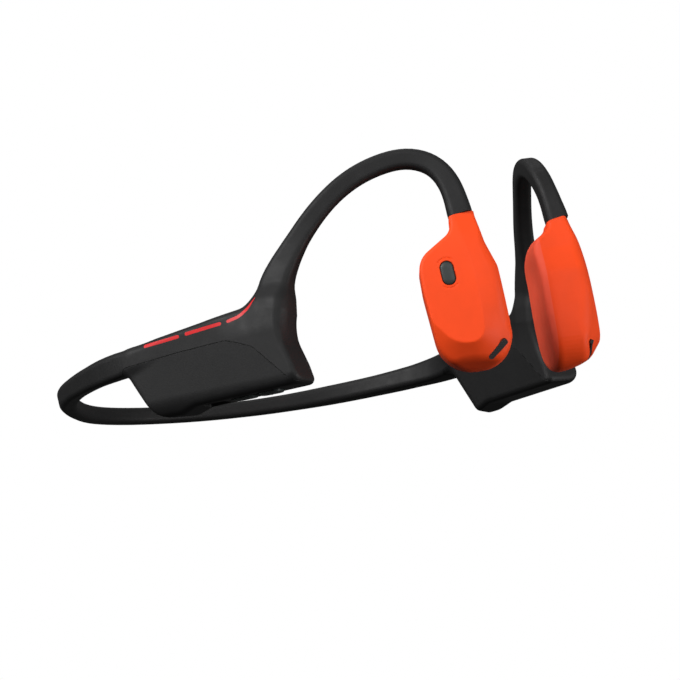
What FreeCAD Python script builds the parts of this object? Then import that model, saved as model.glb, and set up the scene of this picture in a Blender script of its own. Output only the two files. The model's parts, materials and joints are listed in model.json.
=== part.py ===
"""Bone conduction headphones: a neckband, two pods behind the ears, two ear hooks and two transducers.

Every piece is modelled once for the wearer's left side, in world millimetres, and mirrored across the
plane X = 0 for the right side. The boards and keys sit in the right pod, the battery in the left one.
+Z is up, -Y is the front, +X is the wearer's left. The origin is under the middle of the bounding box
at table level: the headphones stand on the two pod bellies and the two transducer bottoms.
"""
import FreeCAD, Part
import math
import os

V = FreeCAD.Vector
UP = V(0, 0, 1)

# ---------------------------------------------------------------- driving dimensions, millimetres
# Neckband centre line, from the middle of the back to the rear of the left pod.
BAND_PATH = [(0, 62.7, 11.3), (15.7, 59.4, 11.1), (30.7, 50.9, 10.9),
             (44.1, 39.7, 11.6), (53.2, 25.9, 12.7), (56.3, 9.0, 14.0)]
BAND_THICK = 4.3
BAND_HIGH = 4.3
BAND_CORNER = 1.5

# The elastic band is split at a vertical flex axis on each side.
FLEX_AXIS_X = 37.3
FLEX_PIN_RADIUS = BAND_THICK / 2
FLEX_CLEARANCE = 0.15

# Pod: local X runs forward, local Y outward, local Z up from the table.
POD_ORIGIN = (56.0, 9.2, 0.0)
POD_YAW = 14.7
POD_HALF_THICK = 4.7
POD_EDGE_ROUND = 1.1
POD_WALL = 1.2

# Ear hook centre line, from the stem above the pod, over the ear, to the transducer neck.
HOOK_PATH = [(44.3, -26.3, 24.2), (41.7, -28.5, 30.0), (38.3, -31.3, 35.6), (34.5, -34.8, 40.7),
             (30.3, -38.7, 44.6), (25.4, -43.2, 47.1), (21.1, -48.0, 47.5), (18.3, -52.1, 45.2),
             (17.0, -55.0, 40.3), (16.9, -56.7, 33.3)]
HOOK_PLANE_YAW = 41.0
# (fraction along the hook, width in the plane of the loop, width across it)
HOOK_WIDTHS = [(0.00, 7.0, 5.6), (0.12, 5.3, 4.6), (0.25, 4.5, 4.0), (0.40, 4.3, 3.9), (0.55, 4.3, 4.0),
               (0.70, 4.4, 4.1), (0.82, 4.5, 4.3), (0.92, 4.8, 4.5), (1.00, 5.1, 4.7)]

# Transducer: local X runs forward, local Y outward, local Z up from the neck joint.
NECK_JOINT = (16.9, -56.7, 33.3)
TRANSDUCER_YAW = 40.0
TRANSDUCER_DROP = NECK_JOINT[2]
COVER_LEVEL = -5.3
CAVITY_LEVEL = 1.3
FACE_LEAN = 0.099
BEVEL_SLOPE = math.tan(math.radians(19))

# Titanium spring wire and signal cable, side by side inside the silicone sleeves.
WIRE_RADIUS = 0.60
CABLE_RADIUS = 0.55
CORE_OFFSET = 0.85
CHANNEL_GAP = 0.05

# Exciter, centred in the transducer and stacked outward from the contact cover.
EXCITER_CENTRE = (-1.6, -20.0)
FRAME_RADIUS = 6.4
MAGNET_RADIUS = 2.6
YOKE_RADIUS = 4.9

# Keys
KEY_TRAVEL = 0.35
KEY_GAP = 0.12
FUNCTION_KEY = (-4.8, -12.6)
FUNCTION_KEY_SIZE = (3.2, 5.4)
VOLUME_KEYS = {"volume_up": 33.2, "volume_down": 27.0}
VOLUME_KEY_SIZE = (5.5, 4.0)


# ---------------------------------------------------------------- basic shapes
def rounded_outline(corners):
    """Closed wire in the XY plane through (x, y, radius) corners, each rounded by its own arc."""
    points = [V(x, y, 0) for x, y, _ in corners]
    starts, arcs = [], []
    for i, (_, _, radius) in enumerate(corners):
        here, before, after = points[i], points[i - 1], points[(i + 1) % len(points)]
        to_before = (before - here).normalize()
        to_after = (after - here).normalize()
        half = to_before.getAngle(to_after) / 2
        if radius < 1e-6 or half > math.radians(89.9):
            starts.append((here, here))
            arcs.append(None)
            continue
        reach = radius / math.tan(half)
        bisector = (to_before + to_after).normalize()
        centre = here + bisector * (radius / math.sin(half))
        first, last = here + to_before * reach, here + to_after * reach
        starts.append((first, last))
        arcs.append(Part.Arc(first, centre - bisector * radius, last).toShape())
    edges = []
    for i, arc in enumerate(arcs):
        if arc:
            edges.append(arc)
        leave, arrive = starts[i][1], starts[(i + 1) % len(starts)][0]
        if leave.distanceToPoint(arrive) > 1e-6:
            edges.append(Part.makeLine(leave, arrive))
    return Part.Wire(edges)


def side_prism(corners, inner, outer):
    """Outline of (forward, up, radius) corners, extruded across from Y = inner to Y = outer."""
    face = Part.Face(rounded_outline(corners))
    face.rotate(V(0, 0, 0), V(1, 0, 0), 90)
    face.translate(V(0, inner, 0))
    return face.extrude(V(0, outer - inner, 0))


def front_prism(corners, rear, front):
    """Outline of (outward, up, radius) corners, extruded forward from X = rear to X = front."""
    face = Part.Face(rounded_outline(corners))
    face.rotate(V(0, 0, 0), V(1, 0, 0), 90)
    face.rotate(V(0, 0, 0), V(0, 0, 1), 90)
    face.translate(V(rear, 0, 0))
    return face.extrude(V(front - rear, 0, 0))


def block(x0, x1, y0, y1, z0, z1):
    return Part.makeBox(x1 - x0, y1 - y0, z1 - z0, V(x0, y0, z0))


def set_down(shape, origin, yaw):
    """Move a shape from its local frame (forward, outward, up) to the world."""
    placed = shape.copy()
    placed.Placement = FreeCAD.Placement(V(*origin), FreeCAD.Rotation(UP, -90 - yaw)).multiply(shape.Placement)
    return placed


def in_pod(shape):
    return set_down(shape, POD_ORIGIN, POD_YAW)


def in_transducer(shape):
    return set_down(shape, NECK_JOINT, TRANSDUCER_YAW)


def mirrored(shape):
    return shape.mirror(V(0, 0, 0), V(1, 0, 0))


def soft_rectangle(centre, across, up, width, height, corner):
    """Wire of a rounded rectangle in the plane of two unit vectors."""
    w, h = width / 2, height / 2
    k = corner * (1 - math.sqrt(0.5))
    rounds = [((w - corner, h), (w - k, h - k), (w, h - corner)),
              ((w, corner - h), (w - k, k - h), (w - corner, -h)),
              ((corner - w, -h), (k - w, k - h), (-w, corner - h)),
              ((-w, h - corner), (k - w, h - k), (corner - w, h))]

    def spot(pair):
        return centre + across * pair[0] + up * pair[1]

    edges = []
    for i, turn in enumerate(rounds):
        edges.append(Part.Arc(*[spot(pair) for pair in turn]).toShape())
        edges.append(Part.makeLine(spot(turn[2]), spot(rounds[(i + 1) % 4][0])))
    return Part.Wire(edges)


def round_section(centre, across, up, radius):
    """Wire of a circle in the plane of two unit vectors, always starting on the `across` side."""
    east, north, west, south = (centre + step * radius for step in (across, up, across * -1, up * -1))
    return Part.Wire([Part.Arc(east, north, west).toShape(), Part.Arc(west, south, east).toShape()])


def loft(wires):
    return Part.makeLoft(wires, True, False)


# ---------------------------------------------------------------- paths
def smooth_path(points):
    curve = Part.BSplineCurve()
    curve.interpolate([V(*p) for p in points])
    return curve


BAND = smooth_path([(-x, y, z) for x, y, z in BAND_PATH[:0:-1]] + BAND_PATH)
HOOK = smooth_path(HOOK_PATH)


def at_length(curve, share):
    """Point and direction at a share of the curve's length."""
    length = curve.length()
    where = curve.parameterAtDistance(length * share, curve.FirstParameter)
    return curve.value(where), V(*curve.tangent(where)[0])


def band_share_at_x(x):
    """Share of the band's length at which the left half reaches X = x."""
    low, high = 0.5, 1.0
    for _ in range(40):
        middle = (low + high) / 2
        if at_length(BAND, middle)[0].x < x:
            low = middle
        else:
            high = middle
    return (low + high) / 2


FLEX_SHARE = band_share_at_x(FLEX_AXIS_X)
FLEX_POINT, FLEX_DIRECTION = at_length(BAND, FLEX_SHARE)


def band_frame(share):
    """Point, direction, outward and upward unit vectors on the band."""
    point, along = at_length(BAND, share)
    outward = along.cross(UP).normalize()
    return point, along, outward, outward.cross(along).normalize()


def hook_frame(share):
    """Point, direction, across-the-loop and in-the-loop unit vectors on the hook."""
    point, along = at_length(HOOK, share)
    turned = min(1.0, share / 0.35)
    yaw = math.radians(POD_YAW + (HOOK_PLANE_YAW - POD_YAW) * turned)
    normal = V(math.cos(yaw), -math.sin(yaw), 0)
    in_loop = normal.cross(along).normalize()
    return point, along, along.cross(in_loop).normalize(), in_loop


def hook_widths(share):
    """Widths of the hook's section at a share of its length, read between the driving rows."""
    for (s0, a0, b0), (s1, a1, b1) in zip(HOOK_WIDTHS, HOOK_WIDTHS[1:]):
        if share <= s1:
            k = (share - s0) / (s1 - s0)
            return a0 + (a1 - a0) * k, b0 + (b1 - b0) * k
    return HOOK_WIDTHS[-1][1:]


def spread(start, end, count):
    return [start + (end - start) * i / (count - 1) for i in range(count)]


# ---------------------------------------------------------------- neckband
def band_tube(start, end, count, radius, offset):
    wires = []
    for share in spread(start, end, count):
        point, _, outward, up = band_frame(share)
        wires.append(round_section(point + outward * offset, outward, up, radius))
    return loft(wires)


def band_solid(start, end, count):
    wires = []
    for share in spread(start, end, count):
        point, _, outward, up = band_frame(share)
        wires.append(soft_rectangle(point, outward, up, BAND_THICK, BAND_HIGH, BAND_CORNER))
    return loft(wires)


def flex_side(reach):
    """Large block on the pod side of the flex axis, from `reach` beyond it."""
    size = 60
    side = Part.makeBox(size, size, size, V(0, -size / 2, -size / 2))
    turn = math.degrees(math.atan2(FLEX_DIRECTION.y, FLEX_DIRECTION.x))
    side.Placement = FreeCAD.Placement(
        V(FLEX_POINT.x, FLEX_POINT.y, 0) + FLEX_DIRECTION * reach, FreeCAD.Rotation(UP, turn))
    return side


def flex_pin(radius):
    return Part.makeCylinder(radius, 30, V(FLEX_POINT.x, FLEX_POINT.y, FLEX_POINT.z - 15), UP)


def band_centre_parts():
    """Back stretch of the band: its ends are half-round about the two flex axes."""
    beyond = 0.03
    long_sleeve = band_solid(1 - FLEX_SHARE - beyond, FLEX_SHARE + beyond, 15)
    ends = flex_side(0).fuse(mirrored(flex_side(0)))
    knuckles = flex_pin(FLEX_PIN_RADIUS).fuse(mirrored(flex_pin(FLEX_PIN_RADIUS)))
    sleeve = long_sleeve.cut(ends).fuse(long_sleeve.common(knuckles)).removeSplitter()
    reach = FLEX_SHARE
    cores = {}
    for name, radius, offset in (("wire", WIRE_RADIUS, CORE_OFFSET), ("cable", CABLE_RADIUS, -CORE_OFFSET)):
        sleeve = sleeve.cut(band_tube(1 - reach, reach, 13, radius + CHANNEL_GAP, offset))
        cores[name] = band_tube(1 - reach, reach, 13, radius, offset)
    return {"band_sleeve_center": sleeve, "band_wire_center": cores["wire"],
            "band_cable_center": cores["cable"]}


BAND_END_SHARE = 0.988
CORE_START_SHARE = FLEX_SHARE + 0.028


def band_side_parts():
    """Side stretch of the band: hollowed round at the flex axis, flat where it meets the pod."""
    sleeve = band_solid(FLEX_SHARE, BAND_END_SHARE, 7)
    sleeve = sleeve.common(flex_side(0)).cut(flex_pin(FLEX_PIN_RADIUS + FLEX_CLEARANCE))
    parts = {}
    for name, radius, offset in (("wire", WIRE_RADIUS, CORE_OFFSET), ("cable", CABLE_RADIUS, -CORE_OFFSET)):
        sleeve = sleeve.cut(band_tube(CORE_START_SHARE, 1, 7, radius + CHANNEL_GAP, offset))
        parts["band_" + name] = band_tube(CORE_START_SHARE, 1, 7, radius, offset)
    parts["band_sleeve"] = sleeve
    return parts


# ---------------------------------------------------------------- pod
POD_OUTLINE = [(1.4, 12.0, 1.5), (7.2, 0.0, 2.6), (13.2, 0.0, 5.0), (17.0, 1.2, 4.0), (42.4, 1.7, 1.4),
               (41.4, 6.0, 8), (39.7, 11.0, 12), (39.0, 16.0, 16), (39.5, 21.6, 1.6), (34.4, 21.3, 2.5),
               (31.0, 19.8, 8), (20.7, 18.6, 40), (9.0, 17.2, 20), (2.0, 15.9, 1.8)]
SHELL_OUTLINE = [(-2.0, 12.0, 0), (0.0, -3.0, 0), (45.0, -3.0, 0), (45.0, 5.0, 0), (36.6, 5.2, 3),
                 (32.0, 11.3, 4.5), (25.0, 13.5, 10), (14.0, 13.2, 0)]
CAVITY_OUTLINE = [(5.2, 10.9, 0.8), (8.9, 2.0, 1.2), (14.2, 2.0, 1.0), (17.4, 3.1, 1.0), (38.4, 3.3, 0.25),
                  (35.6, 4.6, 1.5), (31.1, 10.2, 3.5), (24.8, 12.2, 8), (14.0, 11.9, 0)]
BOTTOM_CHAMFER = [(1.9, -1.0, 0), (7.0, -1.0, 0), (7.0, 6.0, 0)]
REAR_CHAMFER = [(-2.0, -0.5, 0), (-2.0, -7.0, 0), (6.6, -7.0, 0), (6.6, -4.8, 0)]
RAIL_OUTLINE = [(4.0, 13.7, 0.3), (28.5, 14.6, 2), (33.5, 14.6, 3), (36.6, 21.0, 0.3), (33.6, 20.0, 2),
                (31.5, 16.6, 2), (27.5, 16.0, 2), (4.0, 15.1, 0.3)]
LIGHT_STRIPS = [[(7.0, 15.55, 0.3), (15.8, 16.15, 0.3), (15.8, 16.9, 0.3), (7.0, 16.3, 0.3)],
                [(17.2, 16.3, 0.3), (26.1, 17.0, 0.3), (26.1, 17.75, 0.3), (17.2, 17.05, 0.3)],
                [(27.4, 17.1, 0.3), (30.6, 17.8, 4), (33.2, 19.1, 4), (35.6, 22.2, 0.05), (32.8, 19.8, 4),
                 (30.3, 18.6, 4), (27.4, 17.9, 0.3)]]
LIGHT_BOARD_OUTLINE = [(6.6, 15.5, 0.2), (30.0, 17.35, 0.2), (30.0, 18.6, 0.2), (6.6, 16.7, 0.2)]
LIGHT_BOARD_LEVEL = 2.0


def pod_envelope():
    """Whole rear body: flat-sided pod, the band running in and the stem rising from its top."""
    plate = side_prism(POD_OUTLINE, -POD_HALF_THICK, POD_HALF_THICK)
    rims = [e for f in plate.Faces if abs(abs(f.normalAt(0, 0).y) - 1) < 1e-6 and f.Area > 200
            for e in f.OuterWire.Edges]
    rear_corner = Part.Face(rounded_outline(REAR_CHAMFER)).extrude(UP * 30)
    rear_corner.translate(UP * -5)
    plate = plate.makeFillet(POD_EDGE_ROUND, rims).cut([front_prism(BOTTOM_CHAMFER, -5, 50), rear_corner])
    world = in_pod(plate)
    return world.fuse([band_entry(), stem()]).removeSplitter()


def pod_point(forward, outward, up):
    return in_pod(Part.Vertex(V(forward, outward, up))).Point


def pod_axis(forward, outward):
    return (pod_point(forward, outward, 0) - pod_point(0, 0, 0)).normalize()


def band_entry():
    """The band thickens from its own section to the pod's upper part."""
    point, _, outward, up = band_frame(BAND_END_SHARE)
    wires = [soft_rectangle(point, outward, up, BAND_THICK, BAND_HIGH, BAND_CORNER)]
    for forward, level, thick, high in ((1.5, 14.35, 5.6, 4.9), (6.0, 14.75, 7.4, 5.0), (12.0, 15.2, 8.9, 5.0)):
        wires.append(soft_rectangle(pod_point(forward, 0, level), pod_axis(0, 1), UP, thick, high, BAND_CORNER))
    return loft(wires)


def stem():
    """The pod's front top narrows and leans inward into the hook's first section."""
    wires = []
    for forward, outward, level, length, thick in ((35.2, 0.0, 14.5, 8.4, 8.6), (36.2, -0.7, 19.5, 8.6, 7.8)):
        wires.append(soft_rectangle(pod_point(forward, outward, level), pod_axis(0, 1), pod_axis(-1, 0),
                                    thick, length, 2.0))
    point, _, across, in_loop = hook_frame(0)
    length, thick = hook_widths(0)
    wires.append(soft_rectangle(point, across, in_loop, thick, length, 2.0))
    return loft(wires)


def light_pipes(envelope):
    """Three red bars a side, flush with the outer face."""
    bars = [in_pod(side_prism(strip, LIGHT_BOARD_LEVEL, POD_HALF_THICK + 2)) for strip in LIGHT_STRIPS]
    return Part.makeCompound([bar.common(envelope).Solids[0] for bar in bars])


def pod_parts():
    """Hard pod in two halves, silicone skin above it, lights, and the rail that holds the spring wires."""
    envelope = pod_envelope()
    lower = in_pod(side_prism(SHELL_OUTLINE, -10, 10))
    cavity = in_pod(side_prism(CAVITY_OUTLINE, POD_WALL - POD_HALF_THICK, POD_HALF_THICK - POD_WALL))
    shell = envelope.common(lower).cut(cavity)
    outer_half = in_pod(block(-10, 60, 0, 20, -5, 40))
    pipes = light_pipes(envelope)
    board = in_pod(side_prism(LIGHT_BOARD_OUTLINE, LIGHT_BOARD_LEVEL - 0.5, LIGHT_BOARD_LEVEL))
    rail = in_pod(side_prism(RAIL_OUTLINE, -2.4, 1.2))
    cores = [band_core_channel(), hook_core_channel()]
    rail = rail.cut(cores)
    skin = envelope.cut([lower, pipes, board, in_pod(side_prism(RAIL_OUTLINE, -2.4, 1.2))] + cores)
    return {"pod_outer": shell.common(outer_half), "pod_inner": shell.cut(outer_half),
            "housing_skin": skin, "light_pipes": pipes, "light_board": board, "frame_rail": rail}


def band_core_channel():
    """Space for the ends of the band's wire and cable inside the pod's top."""
    tubes = [band_tube(0.97, 1, 3, radius + CHANNEL_GAP, offset)
             for radius, offset in ((WIRE_RADIUS, CORE_OFFSET), (CABLE_RADIUS, -CORE_OFFSET))]
    return tubes[0].fuse(tubes[1])


def hook_core_channel():
    """Space for the ends of the hook's wire and cable inside the stem."""
    tubes = [hook_tube(radius + CHANNEL_GAP, offset, STEM_DEPTH) for radius, offset in HOOK_CORES.values()]
    return tubes[0].fuse(tubes[1])


# ---------------------------------------------------------------- ear hook
STEM_DEPTH = 3.0
NECK_DEPTH = 3.0
HOOK_CORES = {"wire": (WIRE_RADIUS, CORE_OFFSET), "cable": (CABLE_RADIUS, -CORE_OFFSET)}


def hook_tube(radius, offset, stem_depth):
    """Round core along the hook, with straight ends reaching into the stem and the neck."""
    wires = []
    for share in spread(0, 1, 15):
        point, _, across, in_loop = hook_frame(share)
        wires.append(round_section(point + in_loop * offset, across, in_loop, radius))
    point, along, _, in_loop = hook_frame(0)
    tail = Part.makeCylinder(radius, stem_depth, point + in_loop * offset, along * -1)
    point, along, _, in_loop = hook_frame(1)
    head = Part.makeCylinder(radius, NECK_DEPTH, point + in_loop * offset, along)
    return loft(wires).fuse([tail, head]).removeSplitter()


def hook_sleeve_solid():
    """Silicone sleeve of the hook: its last section lies level, on the flat top of the transducer's neck."""
    wires = []
    for share in spread(0, 1, 15):
        point, _, across, in_loop = hook_frame(share)
        if share == 1:
            across = V(across.x, across.y, 0).normalize()
            in_loop = V(in_loop.x, in_loop.y, 0).normalize()
        in_plane, thick = hook_widths(share)
        wires.append(soft_rectangle(point, across, in_loop, thick, in_plane, min(in_plane, thick) * 0.38))
    return loft(wires)


def hook_parts():
    sleeve = hook_sleeve_solid()
    parts = {}
    for name, (radius, offset) in HOOK_CORES.items():
        sleeve = sleeve.cut(hook_tube(radius + CHANNEL_GAP, offset, STEM_DEPTH))
        parts["hook_" + name] = hook_tube(radius, offset, STEM_DEPTH)
    parts["hook_sleeve"] = sleeve
    return parts


# ---------------------------------------------------------------- transducer
BODY_OUTLINE = [(-2.85, 1.0, 0), (-3.0, -3.0, 1.8), (-10.95, -8.8, 3.6), (-10.6, -16.0, 30),
                (-8.6, -TRANSDUCER_DROP, 7.8), (7.4, -TRANSDUCER_DROP, 7.2), (7.1, -23.5, 20),
                (6.0, -12.0, 6), (4.3, -7.5, 6), (2.9, 1.0, 0)]
BODY_PROFILE = [(2.9, 1.0, 0), (2.95, -1.5, 4), (4.3, -8.3, 20), (5.7, -22.5, 0), (5.8, -26.0, 1.2),
                (3.0, -31.5, 3), (-2.6, -TRANSDUCER_DROP, 0), (-6.0, -TRANSDUCER_DROP, 2.2),
                (-6.7, -20.0, 60), (-6.9, -4.6, 2.2), (-2.9, -3.8, 1.6), (-2.9, 1.0, 0)]
CAVITY_FD = [(-8.9, -11.0, 3), (-7.3, -31.2, 6), (5.9, -31.2, 5.5), (5.6, -24.0, 10), (4.6, -12.5, 3),
             (1.5, -9.0, 2)]
KEY_POCKET = [(-8.4, -9.0, 1.5), (-8.2, -18.0, 1.0), (-1.4, -18.0, 1.0), (-1.4, -9.0, 1.0)]
KEY_POCKET_LEVEL = 3.6
VENT_CENTRE = (3.7, 3.0, -30.3)
VENT_SIZE = (5.4, 1.3)


def front_bevel():
    """Wedge that slopes the front third of the outer face towards the front edge."""
    wires = []
    for drop in (-2.0, 36.0):
        crease = -0.5 + 0.077 * (drop - 2)
        level = 4.25 + FACE_LEAN * (drop - 8.3)
        wires.append(Part.makePolygon([
            V(crease, level, -drop), V(crease + 14, level - 14 * BEVEL_SLOPE, -drop),
            V(crease + 14, level + 6, -drop), V(crease, level + 6, -drop), V(crease, level, -drop)]))
    return Part.makeLoft(wires, True, True)


def transducer_body():
    body = side_prism(BODY_OUTLINE, -9, 9).common(front_prism(BODY_PROFILE, -15, 12))
    return body.cut(front_bevel()).cut(block(-15, 15, -10, 10, 0, 5))


def vent_cutter(inner, outer):
    """Stadium-shaped bar through the lower outer wall, pointing outward, down and a little forward."""
    length, width = VENT_SIZE
    half, radius = length / 2, width / 2
    corners = [(-half, -radius, radius * 0.98), (half, -radius, radius * 0.98),
               (half, radius, radius * 0.98), (-half, radius, radius * 0.98)]
    face = Part.Face(rounded_outline(corners))
    face.translate(V(0, 0, inner))
    bar = face.extrude(V(0, 0, outer - inner))
    bar.Placement = FreeCAD.Placement(V(*VENT_CENTRE), FreeCAD.Rotation(V(-0.74, 0, -0.67), V(0, 1, 0),
                                                                     V(0.3, 0.82, -0.49), "ZXY"))
    return bar


def transducer_parts(with_key):
    body = transducer_body()
    inner_side = block(-20, 20, -12, COVER_LEVEL, -40, 5)
    shell = body.cut(inner_side).cut(side_prism(CAVITY_FD, COVER_LEVEL - 1, CAVITY_LEVEL))
    cover = body.common(inner_side)
    if with_key:
        shell = shell.cut(side_prism(KEY_POCKET, CAVITY_LEVEL - 1, KEY_POCKET_LEVEL))
        shell = shell.cut(function_key_bar(KEY_GAP, KEY_POCKET_LEVEL - 1, 10))
    shell = shell.cut(vent_cutter(-6, 6))
    mesh = vent_cutter(-1.2, -0.7)
    microphone = block(-1.2, 1.6, -2.6, -1.6, -30.2, -28.2)
    local = {"transducer_shell": shell, "contact_cover": cover, "vent_mesh": mesh, "microphone": microphone}
    parts = {name: in_transducer(shape) for name, shape in local.items()}
    cores = hook_ends()
    parts["transducer_shell"] = parts["transducer_shell"].cut(cores)
    return parts


def hook_ends():
    """The wire and cable ends that plug into the neck."""
    point, along, _, in_loop = hook_frame(1)
    lead = 0.8
    pins = [Part.makeCylinder(radius + CHANNEL_GAP, NECK_DEPTH + 0.1 + lead,
                              point + in_loop * offset - along * lead, along)
            for radius, offset in HOOK_CORES.values()]
    return pins[0].fuse(pins[1])


def drum(radius, start, end, hole=0.0):
    """Disc or ring about the exciter's axis, from level `start` to level `end`."""
    base = V(EXCITER_CENTRE[0], start, EXCITER_CENTRE[1])
    disc = Part.makeCylinder(radius, end - start, base, V(0, 1, 0))
    if hole:
        disc = disc.cut(Part.makeCylinder(hole, end - start, base, V(0, 1, 0)))
    return disc


def exciter_parts():
    """Frame and coil stay on the contact cover; magnet, top plate and yoke hang on the spring plate."""
    floor = COVER_LEVEL
    frame = drum(FRAME_RADIUS, floor, floor + 0.6).fuse(drum(FRAME_RADIUS, floor + 0.6, -1.0, 5.5))
    yoke = drum(YOKE_RADIUS, -1.9, -1.25).fuse(drum(YOKE_RADIUS, -4.3, -1.9, 3.7))
    spring = drum(FRAME_RADIUS, -1.0, -0.8, 5.5).fuse(drum(2.2, -1.0, -0.8))
    for turn in (0, 120, 240):
        arm = Part.makeBox(4.4, 0.2, 0.9, V(EXCITER_CENTRE[0] + 1.6, -1.0, EXCITER_CENTRE[1] - 0.45))
        arm.rotate(V(EXCITER_CENTRE[0], 0, EXCITER_CENTRE[1]), V(0, 1, 0), turn)
        spring = spring.fuse(arm)
    local = {"exciter_frame": frame.removeSplitter(), "yoke": yoke.removeSplitter(),
             "spring_plate": spring.removeSplitter(),
             "voice_coil": drum(3.45, floor + 0.6, -2.9, 2.95), "top_plate": drum(2.75, -4.3, -3.7),
             "magnet": drum(MAGNET_RADIUS, -3.7, -1.9)}
    return {name: in_transducer(shape) for name, shape in local.items()}


# ---------------------------------------------------------------- keys, boards, battery
def function_key_bar(grow, start, end):
    """Stadium bar of the function key's section, `grow` wider all round."""
    width, height = (size / 2 + grow for size in FUNCTION_KEY_SIZE)
    x, z = FUNCTION_KEY
    corner = width * 0.98
    return side_prism([(x - width, z - height, corner), (x + width, z - height, corner),
                       (x + width, z + height, corner), (x - width, z + height, corner)], start, end)


def function_key_parts():
    """Oblong key through the outer face, captive behind it by a flange, over a tact switch."""
    proud = front_prism([(0, 5, 0), (4.5, 5, 0), (4.5, -8.3, 0), (6.05, -24, 0), (0, -24, 0)], -15, 12)
    cap = function_key_bar(0, KEY_POCKET_LEVEL - 0.5, 10).common(proud)
    flange = function_key_bar(0.6, KEY_POCKET_LEVEL - 0.55, KEY_POCKET_LEVEL - 0.06)
    x, z = FUNCTION_KEY
    level = KEY_POCKET_LEVEL - 0.6 - KEY_TRAVEL - 0.1
    switch = block(x - 1.4, x + 1.4, CAVITY_LEVEL, level, z - 1.4, z + 1.4)
    return {"function_button": in_transducer(cap.fuse(flange).removeSplitter()),
            "function_switch": in_transducer(switch)}


def volume_key_bar(centre, grow, start, end):
    length, width = (size / 2 + grow for size in VOLUME_KEY_SIZE)
    corner = 1.4 + grow
    face = Part.Face(rounded_outline([(centre - length, -width, corner), (centre + length, -width, corner),
                                      (centre + length, width, corner), (centre - length, width, corner)]))
    face.translate(V(0, 0, start))
    return face.extrude(V(0, 0, end - start))


def volume_key_parts():
    """Two rocker-like keys under the pod, each with a flange inside and a switch above it."""
    parts = {}
    switches = []
    for name, centre in VOLUME_KEYS.items():
        cap = volume_key_bar(centre, 0, 0.7, 3.4)
        flange = volume_key_bar(centre, 0.3, 3.4, 3.9)
        parts[name + "_button"] = in_pod(cap.fuse(flange).removeSplitter())
        switches.append(in_pod(block(centre - 1.5, centre + 1.5, -1.3, 1.3, 3.9 + KEY_TRAVEL + 0.08, 5.2)))
    parts["tact_switches"] = Part.makeCompound(switches)
    parts["button_board"] = in_pod(block(23.4, 34.2, -2.6, 2.6, 5.2, 5.7))
    return parts


def key_openings():
    bars = [volume_key_bar(centre, KEY_GAP, -1, 4) for centre in VOLUME_KEYS.values()]
    return in_pod(bars[0].fuse(bars[1]))


CONTACT_PORT = (17.4, 22.6, 2.5)
CONTACT_SPOTS = [18.2, 19.4, 20.6, 21.8]


def charging_parts():
    """Four spring contacts between two magnets, in a holder recessed in the pod's underside."""
    start, end, half = CONTACT_PORT
    holder = block(start, end, -half, half, 1.75, 3.5)
    pins, magnets = [], []
    for spot in CONTACT_SPOTS:
        pins.append(Part.makeCylinder(0.4, 2.2, V(spot, 0, 1.65), UP))
    for outward in (-1.65, 1.65):
        magnets.append(block(start + 0.8, end - 0.8, outward - 0.5, outward + 0.5, 2.1, 3.5))
    for piece in pins + magnets:
        holder = holder.cut(piece)
    return {"contact_holder": in_pod(holder), "charging_contacts": in_pod(Part.makeCompound(pins)),
            "charging_magnets": in_pod(Part.makeCompound(magnets))}


def contact_opening():
    start, end, half = CONTACT_PORT
    return in_pod(block(start, end, -half, half, -1, 4))


def board_parts():
    board = side_prism([(9.0, 4.1, 0.5), (22.6, 4.1, 0.5), (22.6, 6.4, 0.3), (30.0, 6.4, 0.5),
                        (30.0, 9.6, 0.5), (26.0, 10.9, 0.5), (9.0, 10.9, 0.5)], 0.6, 1.4)
    can = block(11.5, 21.5, 1.4, 2.9, 5.0, 10.2)
    return {"main_board": in_pod(board), "shield_can": in_pod(can)}


def battery_parts():
    cell = side_prism([(9.6, 3.5, 1), (28.2, 3.5, 1), (28.2, 10.0, 1), (26.0, 11.2, 1), (8.0, 11.2, 1)],
                      -3.0, 3.0)
    cell = cell.makeFillet(0.8, [e for f in cell.Faces if f.Area > 80 for e in f.OuterWire.Edges])
    guard = block(28.8, 31.7, -0.4, 0.4, 4.0, 8.4)
    return {"battery_cell": in_pod(cell), "protection_board": in_pod(guard)}


# ---------------------------------------------------------------- assembly
def left_side():
    parts = {}
    for group in (band_side_parts(), pod_parts(), hook_parts(), transducer_parts(False), exciter_parts()):
        parts.update(group)
    return parts


def main():
    nodes = band_centre_parts()
    left = left_side()
    right = dict(left)
    right.update(transducer_parts(True))
    openings = [key_openings(), contact_opening()]
    for half in ("pod_outer", "pod_inner"):
        right[half] = right[half].cut(openings)
    nodes.update({"left_" + name: shape for name, shape in left.items()})
    nodes.update({"right_" + name: mirrored(shape) for name, shape in right.items()})
    for group in (function_key_parts(), volume_key_parts(), charging_parts(), board_parts()):
        nodes.update({name: mirrored(shape) for name, shape in group.items()})
    nodes.update(battery_parts())

    os.makedirs("parts", exist_ok=True)
    for name, shape in nodes.items():
        shape.exportStep("parts/" + name + ".step")
        print(f"{name:26s} solids {len(shape.Solids)} valid {shape.isValid()} volume {shape.Volume:9.2f}")
    box = Part.makeCompound(list(nodes.values())).BoundBox
    print("box", [round(v, 2) for v in (box.XMin, box.XMax, box.YMin, box.YMax, box.ZMin, box.ZMax)])


main()
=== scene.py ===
"""Looks of the bone conduction headphones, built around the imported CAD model.

The moulded pieces are first written as distance functions in millimetres (negative inside), meshed as
even quads, and then cut along their parting lines, key openings and light strips. As in the CAD model
each piece is made once for the wearer's left side (+X) and mirrored across X = 0.
"""
import json
import math

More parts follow.
